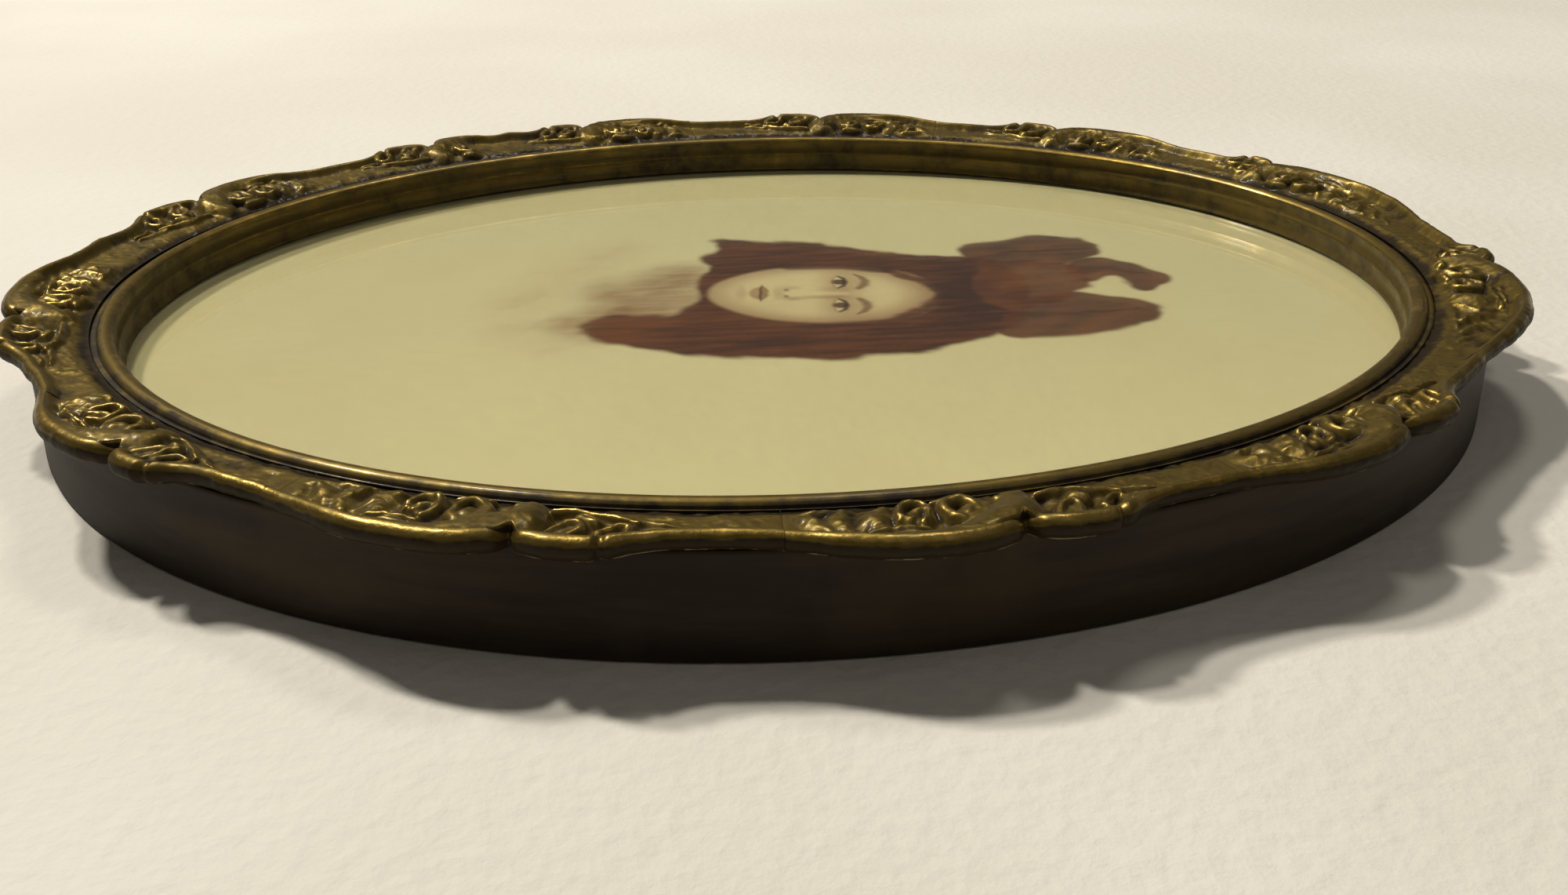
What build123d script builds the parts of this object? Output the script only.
from build123d import *
import math
import os

os.makedirs("parts", exist_ok=True)

# Sight opening, an ellipse whose long axis runs along X
sight_long = 247.0
sight_short = 196.0
sight_a = sight_long / 2
sight_b = sight_short / 2

# Stack of flat pieces in the rebate, from the back upwards
back_recess_depth = 3.3
backing_thickness = 3.0
card_thickness = 1.5
print_thickness = 0.3
glass_thickness = 2.0
backing_base = back_recess_depth
card_base = backing_base + backing_thickness
print_base = card_base + card_thickness
glass_base = print_base + print_thickness
lip_height = glass_base + glass_thickness
glass_overlap = 3.5
rebate_clearance = 0.5
rebate_offset = glass_overlap + rebate_clearance
card_inset = 0.3

# Moulding section: offsets run outwards from the sight edge, heights up from the back
wall_foot_offset = 16.2
wall_top_offset = 15.4
seat_height = 17.2
seat_inner_offset = 5.5
groove_floor_rise = 0.15
groove_floor_height = seat_height + groove_floor_rise
lip_offset = 1.0
sight_land = 0.4
cove_ridge_offset = 1.2
cove_ridge_share = 0.5915
cove_ridge_height = lip_height + cove_ridge_share * (seat_height - lip_height)
cove_depth = 0.55
bead_inner_offset = 1.6
bead_outer_offset = 4.5
bead_foot_rise = 0.4
bead_foot_height = seat_height + bead_foot_rise
bead_top_rise = 1.3
bead_top_height = seat_height + bead_top_rise
cutter_margin = 4.0

# Glued mitre joints between the four rails, at equal turns of the ellipse
rail_count = 4
first_joint_share = -0.125
full_turn = 360.0
quarter_turn = full_turn / 4
dowel_radius = 2.5
dowel_length = 24.0
dowel_offset = 10.0
dowel_height = 9.0
dowel_clearance = 0.05
dowel_end_gap = 0.5
dowel_chamfer = 0.5

# Brads that hold the backing board
brads_per_rail = 2
brad_count = rail_count * brads_per_rail
first_brad_share = -0.0625
brad_radius = 0.6
brad_length = 12.0
brad_inner_offset = -2.5
brad_under_backing = 0.1
brad_clearance = 0.05
brad_chamfer = 0.15

# Hanger on the back of the +X rail
mortise_depth = 2.6
mortise_half_width = 8.0
mortise_end_offset = 15.0
strap_thickness = 0.8
strap_half_width = 4.0
strap_end_offset = 14.0
strap_corner_radius = 1.5
hinge_offset = 2.4
hinge_height = 1.6
wire_radius = 0.8
barrel_clearance = 0.1
barrel_wall = 0.6
ring_half_width = 6.0
ring_arm = 3.0
screw_offset = 9.2
screw_half_spacing = 2.2
screw_radius = 1.0
screw_length = 9.0
screw_head_radius = 1.9
screw_head_height = 1.1
screw_slot_width = 0.5
screw_slot_depth = 0.4
screw_clearance = 0.05

# Pressed ornament: offsets from the sight edge, and rises above its seat
motif_ring_offset = 17.3
ornament_inner_offset = 5.7
ornament_field_rise = 1.5
ridge_rim_offset = 16.2
lobe_rim_offset = 21.6
rim_radius = 1.85
rim_undercut = 0.15
ridge_radius = 1.5
lobe_rim_height = seat_height + rim_undercut + rim_radius
ridge_rim_height = seat_height + rim_undercut + ridge_radius
joint_gap = 0.06
volute_radius = 2.7
volute_offset = 15.3
volute_setback = 3.6
volute_rise = 2.1
volute_height = seat_height + volute_rise
petal_radius = 2.1
petal_offset = 15.0
petal_rise = 1.2
petal_height = seat_height + petal_rise
flower_radius = 2.6
flower_offset = 14.4
leaf_length = 3.6
leaf_width = 1.7
leaf_thickness = 1.5
leaf_offset = 11.0
leaf_rise = 1.4
leaf_height = seat_height + leaf_rise

# Places round the ring, as shares of its circumference from +X: the end of
# each scroll, then the middle of the recess that follows it
motif_shares = [
    (0.0592, 0.0803),
    (0.132, 0.162),
    (0.2125, 0.2464),
    (0.2935, 0.3195),
    (0.3458, 0.378),
    (0.4255, 0.464),
    (0.517, 0.556),
    (0.602, 0.626),
    (0.6845, 0.717),
    (0.769, 0.803),
    (0.854, 0.886),
    (0.965, 0.984),
]
joint_lag_share = 0.012

# How full the rim is, motif by motif: at the top of the scroll and at the recess
lobe_reach_shares = [1.05, 1.05, 1.0, 1.0, 1.0, 1.05, 1.12, 1.0, 1.0, 1.0, 1.0, 1.15]
recess_fill_shares = [0.2, 0.1, 0.0, 0.65, 0.2, 0.55, 0.0, 0.0, 0.05, 0.05, 0.0, 0.2]

# Rim of one motif: share of the way along, then how far the rim stands out,
# as a share of the way from the recess to the top of the scroll
scroll_shares = [(0.0, 0.0), (0.15, 0.06), (0.3, 0.32), (0.45, 0.7), (0.6, 0.95), (0.72, 1.0), (0.86, 0.92), (0.95, 0.68), (1.0, 0.35)]
cluster_shares = [(0.0, 0.35), (0.08, 0.62), (0.24, 0.84), (0.4, 0.84), (0.52, 0.64), (0.64, 0.26), (0.8, 0.04), (1.0, 0.0)]
scroll_steps = 12
cluster_steps = 10
petal_shares = [0.1, 0.26, 0.42]
flower_share = 0.62
leaf_shares = [0.3, 0.46, 0.8]
ring_samples = 1440


def sample_motif_ring():
    """Running length of the ellipse through the ornament, as (share, angle)."""
    a = sight_a + motif_ring_offset
    b = sight_b + motif_ring_offset
    lengths = [0.0]
    for k in range(ring_samples):
        t0 = math.tau * k / ring_samples
        t1 = math.tau * (k + 1) / ring_samples
        step = math.hypot(a * (math.cos(t1) - math.cos(t0)), b * (math.sin(t1) - math.sin(t0)))
        lengths.append(lengths[-1] + step)
    return lengths


ring_lengths = sample_motif_ring()
ring_length = ring_lengths[-1]


def ring_angle(share):
    """Angle on the ellipse where the share of its circumference is reached."""
    turns = math.floor(share)
    target = (share - turns) * ring_length
    low = 0
    high = ring_samples
    while high - low > 1:
        middle = (low + high) // 2
        if ring_lengths[middle] <= target:
            low = middle
        else:
            high = middle
    part = (target - ring_lengths[low]) / (ring_lengths[high] - ring_lengths[low])
    return math.tau * (turns + (low + part) / ring_samples)


def ring_directions(share):
    """Outward and anticlockwise unit vectors of the ellipse at a share."""
    t = ring_angle(share)
    a = sight_a + motif_ring_offset
    b = sight_b + motif_ring_offset
    outward = Vector(b * math.cos(t), a * math.sin(t), 0).normalized()
    return outward, Vector(-outward.Y, outward.X, 0)


def ring_point(share, offset, height=0):
    """Point at a share of the circumference, an offset and a height."""
    t = ring_angle(share)
    a = sight_a + motif_ring_offset
    b = sight_b + motif_ring_offset
    outward, _ = ring_directions(share)
    base = Vector(a * math.cos(t), b * math.sin(t), height)
    return base + outward * (offset - motif_ring_offset)


def sight_frame(turn_share, offset, height):
    """Plane on the sight ellipse at a share of a turn: X outward, Z backwards round the ring."""
    t = math.tau * turn_share
    outward = Vector(sight_b * math.cos(t), sight_a * math.sin(t), 0).normalized()
    along = Vector(-outward.Y, outward.X, 0)
    origin = Vector(sight_a * math.cos(t), sight_b * math.sin(t), height) + outward * offset
    return Plane(origin=origin, x_dir=outward, z_dir=-along)


def oval_disc(offset, base, top):
    """Solid oval whose edge stands an offset outside the sight edge, its seam towards -X."""
    outline = Ellipse(sight_a + offset, sight_b + offset)
    return Pos(0, 0, base) * Rot(0, 0, full_turn / 2) * extrude(outline, amount=top - base)


def moulding_face(plane):
    """Section of the moulding before the rebate and the seat are cut."""
    inner_foot = (lip_offset, -cutter_margin)
    sight_edge = (lip_offset, lip_height + sight_land)
    ridge = (cove_ridge_offset, cove_ridge_height)
    bead_foot = (bead_inner_offset, bead_foot_height)
    lower_cove = ((sight_edge[0] + ridge[0]) / 2 + cove_depth, (sight_edge[1] + cove_ridge_height) / 2)
    upper_cove = ((ridge[0] + bead_foot[0]) / 2 + cove_depth, (cove_ridge_height + bead_foot_height) / 2)
    bead_top = ((bead_inner_offset + bead_outer_offset) / 2, bead_top_height)
    bead_end = (bead_outer_offset, bead_foot_height)
    groove = (bead_outer_offset, groove_floor_height)
    slope = (wall_foot_offset - wall_top_offset) / seat_height
    outer_top = (wall_top_offset - slope * (groove_floor_height - seat_height), groove_floor_height)
    outer_foot = (wall_foot_offset + slope * cutter_margin, -cutter_margin)
    outline = [
        Line(inner_foot, sight_edge),
        ThreePointArc(sight_edge, lower_cove, ridge),
        ThreePointArc(ridge, upper_cove, bead_foot),
        ThreePointArc(bead_foot, bead_top, bead_end),
        Line(bead_end, groove),
        Line(groove, outer_top),
        Line(outer_top, outer_foot),
        Line(outer_foot, inner_foot),
    ]
    return plane * make_face(Wire(outline))


def moulding_cutters():
    """Everything taken out of the swept ring: underside, rebate and ornament seat."""
    reach = sight_a + wall_foot_offset + cutter_margin
    below = Pos(0, 0, -cutter_margin) * Box(2 * reach, 2 * reach, 2 * cutter_margin)
    rebate = oval_disc(rebate_offset, -cutter_margin, lip_height)
    above_seat = oval_disc(wall_foot_offset + cutter_margin, seat_height, bead_top_height)
    seat = above_seat - oval_disc(seat_inner_offset, seat_height, bead_top_height)
    return [below, rebate, seat]


def joint_share(k):
    return first_joint_share + k / rail_count


def dowel(k, extra_radius, extra_length):
    """Dowel across one joint, or the hole for it."""
    plane = sight_frame(joint_share(k), dowel_offset, dowel_height)
    pin = Cylinder(dowel_radius + extra_radius, dowel_length + extra_length)
    return plane * pin


def brad(k, extra_radius):
    """Brad driven level into the rebate wall, or the hole for it."""
    height = backing_base - brad_under_backing - brad_radius
    plane = sight_frame(first_brad_share + k / brad_count, brad_inner_offset, height)
    shank = Rot(0, quarter_turn, 0) * Cylinder(
        brad_radius + extra_radius,
        brad_length + 2 * extra_radius,
        align=(Align.CENTER, Align.CENTER, Align.MIN),
    )
    return plane * shank


def screw(side, extra_radius):
    """Hanger screw from its strap up into the rail, or the hole for it."""
    base = mortise_depth - strap_thickness
    place = Pos(sight_a + screw_offset, side * screw_half_spacing, base)
    shank = Cylinder(
        screw_radius + extra_radius,
        screw_length + extra_radius,
        align=(Align.CENTER, Align.CENTER, Align.MIN),
    )
    return place * shank


def mortise():
    """Recess in the +X rail that sinks the hanger below the back."""
    start = sight_a
    end = sight_a + mortise_end_offset
    block = Box(
        end - start,
        2 * mortise_half_width,
        mortise_depth + cutter_margin,
        align=(Align.MIN, Align.CENTER, Align.MAX),
    )
    block = fillet(block.edges().filter_by(Axis.Z).group_by(Axis.X)[-1], strap_corner_radius)
    return Pos(start, 0, mortise_depth) * block


def build_rail(k):
    """One quarter of the oval ring, between two joints."""
    start = math.degrees(math.tau * joint_share(k))
    arc = full_turn / rail_count
    path = EllipticalCenterArc((0, 0), sight_a, sight_b, start_angle=start, arc_size=arc)
    face = moulding_face(sight_frame(joint_share(k), 0, 0))
    cutters = moulding_cutters()
    cutters.append(dowel(k, dowel_clearance, dowel_end_gap))
    cutters.append(dowel(k + 1, dowel_clearance, dowel_end_gap))
    for j in range(k * brads_per_rail, (k + 1) * brads_per_rail):
        cutters.append(brad(j, brad_clearance))
    if k == 0:
        cutters.append(mortise())
        cutters.append(screw(1, screw_clearance))
        cutters.append(screw(-1, screw_clearance))
    return sweep(face, path=path) - cutters


def build_dowels():
    pins = []
    for k in range(rail_count):
        pin = dowel(k, 0, 0)
        pins.append(chamfer(pin.edges().filter_by(GeomType.CIRCLE), dowel_chamfer))
    return pins


def build_brads():
    pins = []
    for k in range(brad_count):
        pin = brad(k, 0)
        pins.append(chamfer(pin.edges().filter_by(GeomType.CIRCLE), brad_chamfer))
    return pins


def build_hanger_plate():
    """Strap whose end is rolled into a barrel round the bar of the ring."""
    strap_base = mortise_depth - strap_thickness
    barrel_radius = wire_radius + barrel_clearance + barrel_wall
    strap = Box(
        strap_end_offset - hinge_offset,
        2 * strap_half_width,
        strap_thickness,
        align=(Align.MIN, Align.CENTER, Align.MIN),
    )
    strap = fillet(strap.edges().filter_by(Axis.Z).group_by(Axis.X)[-1], strap_corner_radius)
    strap = Pos(sight_a + hinge_offset, 0, strap_base) * strap
    turn = Rot(quarter_turn, 0, 0)
    hinge = Pos(sight_a + hinge_offset, 0, hinge_height)
    plate = strap + hinge * turn * Cylinder(barrel_radius, 2 * strap_half_width)
    plate = plate - hinge * turn * Cylinder(wire_radius + barrel_clearance, 4 * strap_half_width)
    for side in (1, -1):
        plate = plate - screw(side, screw_clearance)
        clear = Pos(sight_a + screw_offset, side * screw_half_spacing, strap_base)
        plate = plate - clear * Cylinder(screw_radius + screw_clearance, 2 * strap_thickness)
    return plate


def build_hanger_ring():
    """Wire loop: straight bar in the barrel, two arms and a half circle."""
    x = sight_a + hinge_offset
    y = ring_half_width
    far = x - ring_arm
    turn = Rot(quarter_turn, 0, 0)
    bar = Pos(x, 0, hinge_height) * turn * Cylinder(wire_radius, 2 * y)
    ring = bar
    for side in (1, -1):
        arm = Rot(0, quarter_turn, 0) * Cylinder(wire_radius, ring_arm)
        ring = ring + Pos(x - ring_arm / 2, side * y, hinge_height) * arm
        ring = ring + Pos(x, side * y, hinge_height) * Sphere(wire_radius)
    profile = Pos(far, y, hinge_height) * Rot(0, quarter_turn, 0) * Circle(wire_radius)
    hub = Axis((far, 0, hinge_height), (0, 0, 1))
    ring = ring + revolve(profile, axis=hub, revolution_arc=full_turn / 2)
    return ring


def build_hanger_screws():
    strap_base = mortise_depth - strap_thickness
    screws = []
    for side in (1, -1):
        place = Pos(sight_a + screw_offset, side * screw_half_spacing, strap_base)
        head = Cylinder(screw_head_radius, screw_head_height, align=(Align.CENTER, Align.CENTER, Align.MAX))
        head = fillet(head.edges().filter_by(GeomType.CIRCLE).group_by(Axis.Z)[0], screw_slot_depth)
        slot = Pos(0, 0, -screw_head_height) * Box(
            4 * screw_head_radius,
            screw_slot_width,
            2 * screw_slot_depth,
        )
        screws.append(screw(side, 0) + place * (head - slot))
    return screws


def table_value(table, x):
    """Value between the rows of a table of shares, along straight lines."""
    for (x0, y0), (x1, y1) in zip(table, table[1:]):
        if x <= x1:
            u = (x - x0) / (x1 - x0)
            return y0 + (y1 - y0) * u
    return table[-1][1]


def rim_offset(bulge):
    return ridge_rim_offset + (lobe_rim_offset - ridge_rim_offset) * bulge


def scroll_bulge(k, x):
    """How far a motif's rim stands out, a share x of the way along its scroll."""
    reach = 1 + (lobe_reach_shares[k] - 1) * 4 * x * (1 - x)
    return reach * table_value(scroll_shares, x) + recess_fill_shares[k - 1] * (1 - x) ** 2


def cluster_bulge(k, x):
    """How far a motif's rim stands out, a share x of the way from its notch to its recess."""
    return table_value(cluster_shares, x) + recess_fill_shares[k] * x**2


def motif_places(k):
    """Shares where a motif's piece starts, its scroll ends, its recess lies and it stops."""
    notch, recess = motif_shares[k]
    before = motif_shares[k - 1][1]
    if before > notch:
        before = before - 1
    return before, notch, recess


def rim_points(k):
    """Outer line of one ornament piece: along the scroll, then along the cluster and ridge."""
    before, notch, recess = motif_places(k)
    after = (k + 1) % len(motif_shares)
    following = motif_shares[after][0]
    if following < recess:
        following = following + 1
    start = joint_lag_share / (notch - before)
    scroll = []
    for j in range(scroll_steps + 1):
        x = start + (1 - start) * j / scroll_steps
        scroll.append((before + x * (notch - before), rim_offset(scroll_bulge(k, x))))
    cluster = []
    for j in range(cluster_steps + 1):
        x = j / cluster_steps
        cluster.append((notch + x * (recess - notch), rim_offset(cluster_bulge(k, x))))
    stop = joint_lag_share / (following - recess)
    cluster.append((recess + joint_lag_share, rim_offset(scroll_bulge(after, stop))))
    return scroll, cluster


def rim_roll(points, inset, height, radius):
    """Round roll along the rim, its outside on the rim's line."""
    path = Spline(*[ring_point(share, offset - inset, height) for share, offset in points])
    plane = Plane(origin=path @ 0, z_dir=path % 0)
    return sweep(plane * Circle(radius), path=path)


def boss(share, offset, height, length, width, rise):
    """Low rounded boss, longest round the ring."""
    outward, along = ring_directions(share)
    plane = Plane(origin=ring_point(share, offset, height), x_dir=along, z_dir=Vector(0, 0, 1))
    return plane * scale(Sphere(rise), by=(length / rise, width / rise, 1))


def piece_wedge(start, stop):
    """Sector of the ring between two joints, a little narrower than the space."""
    inner = ornament_inner_offset - cutter_margin
    outer = lobe_rim_offset + cutter_margin
    gap_share = joint_gap / ring_length
    first = start + gap_share / 2
    last = stop - gap_share / 2
    shares = [first + (last - first) * j / scroll_steps for j in range(scroll_steps + 1)]
    outer_line = [ring_point(share, outer) for share in shares]
    inner_line = [ring_point(share, inner) for share in reversed(shares)]
    outline = make_face(Polyline(*outer_line, *inner_line, close=True))
    return Pos(0, 0, seat_height) * extrude(outline, amount=lobe_rim_height)


def build_ornament(k):
    """One pressed piece: field, rolled rim, scroll end, flower cluster and leaves."""
    before, notch, recess = motif_places(k)
    start = before + joint_lag_share
    stop = recess + joint_lag_share
    scroll, cluster = rim_points(k)
    inner = ornament_inner_offset - cutter_margin
    outer_lines = []
    for points in (scroll, cluster):
        outer_lines.append(Spline(*[ring_point(share, offset - rim_radius) for share, offset in points]))
    shares = [stop + (start - stop) * j / scroll_steps for j in range(scroll_steps + 1)]
    inner_line = Spline(*[ring_point(share, inner) for share in shares])
    sides = [
        Line(outer_lines[1] @ 1, inner_line @ 0),
        Line(inner_line @ 1, outer_lines[0] @ 0),
    ]
    outline = make_face(Wire([*outer_lines, sides[0], inner_line, sides[1]]))
    field = Pos(0, 0, seat_height) * extrude(outline, amount=ornament_field_rise)
    field = field - oval_disc(ornament_inner_offset, seat_height - cutter_margin, lobe_rim_height)

    volute_share = notch - volute_setback / ring_length
    raised = [
        rim_roll(scroll[:-1], rim_radius, lobe_rim_height, rim_radius),
        rim_roll(cluster, ridge_radius, ridge_rim_height, ridge_radius),
        boss(volute_share, volute_offset, volute_height, volute_radius, volute_radius, volute_radius),
    ]
    for x in petal_shares:
        share = notch + x * (recess - notch)
        raised.append(boss(share, petal_offset, petal_height, petal_radius, petal_radius, petal_radius))
    flower = before + flower_share * (notch - before)
    raised.append(boss(flower, flower_offset, petal_height, flower_radius, flower_radius, flower_radius))
    for x in leaf_shares:
        share = before + x * (notch - before)
        raised.append(boss(share, leaf_offset, leaf_height, leaf_length, leaf_width, leaf_thickness))
    return (field + raised) & piece_wedge(start, stop)


def build_flat_pieces():
    """Everything between the lip and the open back."""
    return {
        "glass_pane": oval_disc(glass_overlap, glass_base, lip_height),
        "portrait_print": oval_disc(glass_overlap - card_inset, print_base, glass_base),
        "mount_card": oval_disc(glass_overlap - card_inset, card_base, print_base),
        "backing_board": oval_disc(glass_overlap, backing_base, card_base),
    }


def write_node(name, solids):
    if isinstance(solids, list):
        solids = Compound(children=solids)
    export_step(solids, "parts/" + name + ".step")


rail_names = ["rail_right", "rail_top", "rail_left", "rail_bottom"]
for k in range(rail_count):
    write_node(rail_names[k], build_rail(k))
write_node("joint_dowels", build_dowels())
for name, piece in build_flat_pieces().items():
    write_node(name, piece)
write_node("backing_brads", build_brads())
write_node("hanger_plate", build_hanger_plate())
write_node("hanger_ring", build_hanger_ring())
write_node("hanger_screws", build_hanger_screws())
for k in range(len(motif_shares)):
    write_node("ornament_" + str(k + 1).zfill(2), build_ornament(k))
